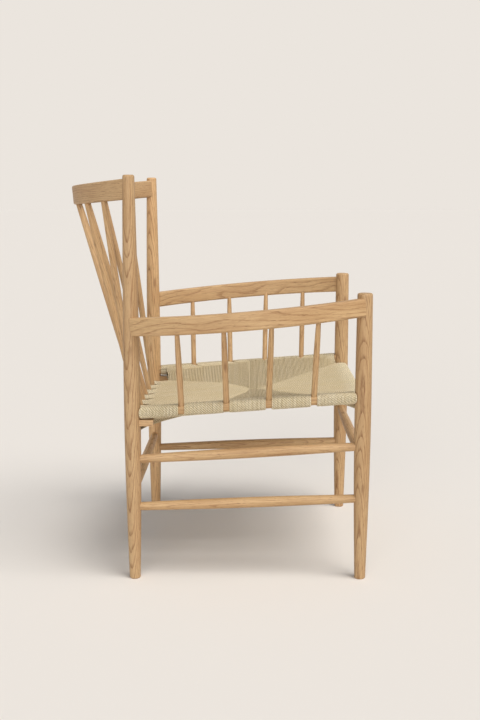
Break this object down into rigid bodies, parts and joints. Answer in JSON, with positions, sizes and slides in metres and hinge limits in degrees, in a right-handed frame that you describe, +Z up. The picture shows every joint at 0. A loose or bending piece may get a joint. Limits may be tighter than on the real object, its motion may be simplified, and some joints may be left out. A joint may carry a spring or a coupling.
{
  "type": "spindle armchair",
  "caption": "Low oak lounge armchair with turned posts, bowed crest and arms, slender spindles and a woven paper-cord seat.",
  "frame": {"origin": "on the floor under the middle of the chair's outline", "axes": "+X to the sitter's left, -Y is the way the chair faces, +Z up"},
  "size_m": [0.652, 0.6282, 0.82],
  "materials": {
    "oak": "oiled, matte",
    "paper_cord": "three-ply twisted paper cord, unbleached"
  },
  "bodies": {
    "root": {"rear_post_r": "oak", "rear_post_l": "oak", "front_post_r": "oak", "front_post_l": "oak", "crest_rail": "oak", "arm_rail_r": "oak", "arm_rail_l": "oak", "seat_rail_side_r": "oak", "seat_rail_side_l": "oak", "seat_rail_front": "oak", "seat_rail_rear": "oak", "stretcher_upper_r": "oak", "stretcher_upper_l": "oak", "stretcher_lower_r": "oak", "stretcher_lower_l": "oak", "stretcher_front": "oak", "stretcher_rear": "oak", "back_spindle_1": "oak", "back_spindle_2": "oak", "back_spindle_3": "oak", "back_spindle_4": "oak", "back_spindle_5": "oak", "back_spindle_6": "oak", "back_spindle_7": "oak", "arm_spindle_r1": "oak", "arm_spindle_r2": "oak", "arm_spindle_r3": "oak", "arm_spindle_r4": "oak", "arm_spindle_l1": "oak", "arm_spindle_l2": "oak", "arm_spindle_l3": "oak", "arm_spindle_l4": "oak", "corner_block_r": "oak", "corner_block_l": "oak", "seat_weave": "paper_cord"}
  },
  "joints": []
}
